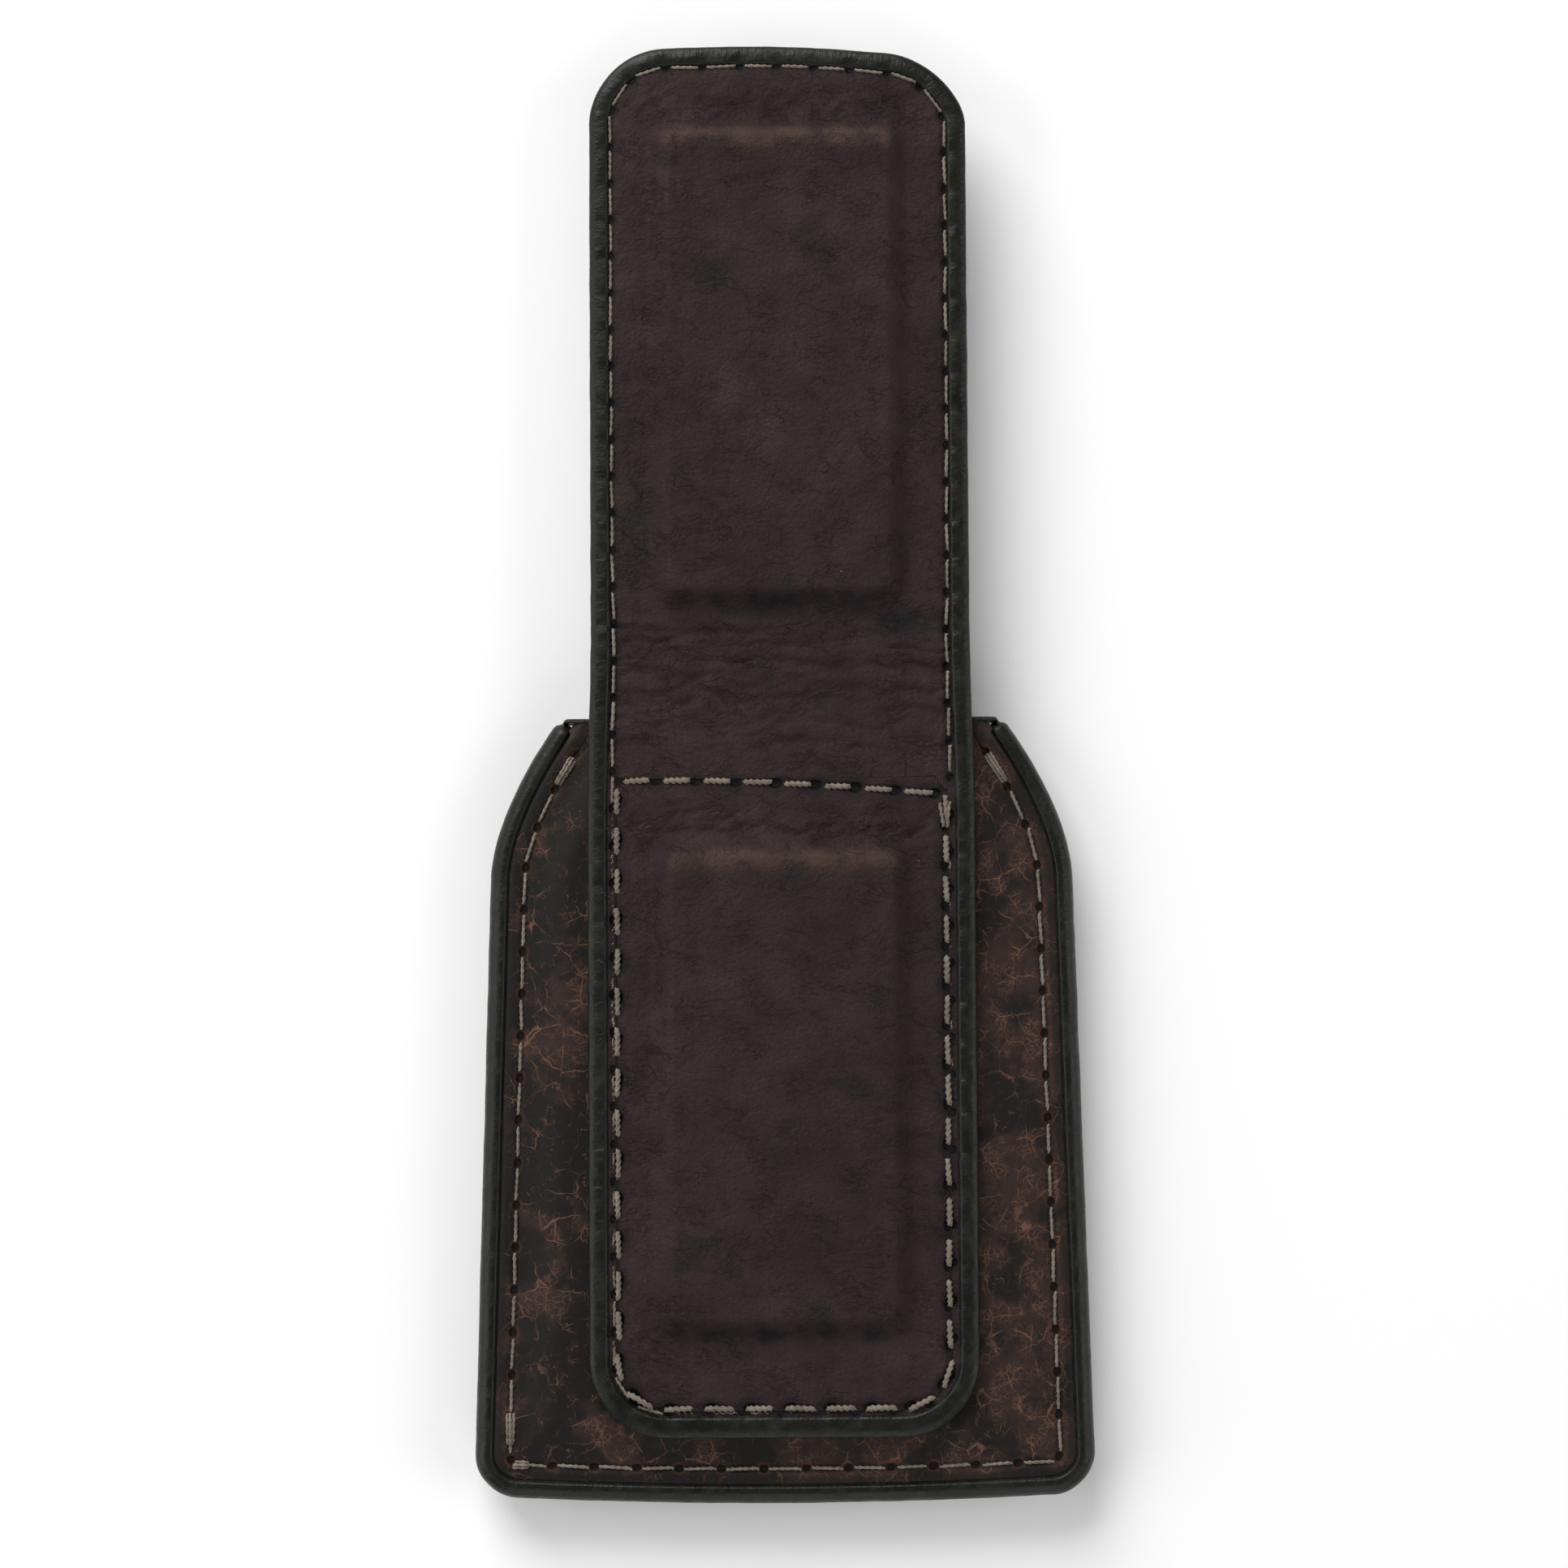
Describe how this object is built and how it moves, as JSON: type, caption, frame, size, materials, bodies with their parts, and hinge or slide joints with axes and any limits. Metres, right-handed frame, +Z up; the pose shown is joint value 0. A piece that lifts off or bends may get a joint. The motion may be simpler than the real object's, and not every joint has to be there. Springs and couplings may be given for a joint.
{
  "type": "magnetic money clip with card pocket",
  "caption": "Flat leather card pocket with rounded bottom corners and sloping shoulders, and a padded magnetic clip strap sewn to its back whose flap folds over.",
  "frame": {"origin": "middle of the whole case in X and Y, on the surface that it rests on", "axes": "+Z up, away from the resting face, towards the clip; +Y along the case from the pocket's sewn bottom edge to the end of the opened flap; X across the case"},
  "size_m": [0.0748, 0.177, 0.0116],
  "materials": {
    "pocket_leather": "dark brown cowhide with a waxed, distressed finish: a net of fine orange-brown cracks",
    "pocket_lining": "thin black-brown lining leather, semi-matte",
    "welt_leather": "dense board-like leather strip, raw cut",
    "strap_leather": "dark brown cowhide with a waxed, distressed finish",
    "clip_lining": "soft purple-brown nappa, fine grain and soft creases, satin",
    "edge_dressing": "thick green-black edge dressing, rounded and burnished",
    "magnet": "plain grey sintered magnet plate, sealed inside",
    "fine_thread": "twisted grey-beige polyester thread",
    "heavy_thread": "heavier twisted grey-beige thread"
  },
  "bodies": {
    "pocket": {"pocket_front_leather": "pocket_leather", "pocket_front_lining": "pocket_lining", "pocket_welt": "welt_leather", "pocket_back_lining": "pocket_lining", "pocket_back_leather": "pocket_leather", "pocket_edge_coat": "edge_dressing", "pocket_seam_thread": "fine_thread", "clip_base_leather": "strap_leather", "clip_base_lining": "clip_lining", "base_magnet": "magnet", "clip_base_edge_coat": "edge_dressing", "clip_base_seam_thread": "fine_thread", "clip_attachment_thread": "heavy_thread"},
    "fold": {"fold_leather": "strap_leather", "fold_lining": "clip_lining", "fold_thread": "fine_thread"},
    "flap": {"flap_leather": "strap_leather", "flap_lining": "clip_lining", "flap_magnet": "magnet", "flap_edge_coat": "edge_dressing", "flap_seam_thread": "fine_thread"}
  },
  "joints": [
    {"name": "flap_fold_1", "type": "hinge", "parent": "pocket", "child": "fold", "pos_m": [0, 0.0023, 0.0086], "axis": [1, 0, 0], "range_deg": [0, 90]},
    {"name": "flap_fold_2", "type": "hinge", "parent": "fold", "child": "flap", "pos_m": [0, 0.0087, 0.0086], "axis": [1, 0, 0], "range_deg": [0, 90]}
  ],
  "couplings": [
    {"joint": "flap_fold_2", "follows": "flap_fold_1", "ratio": 1}
  ]
}
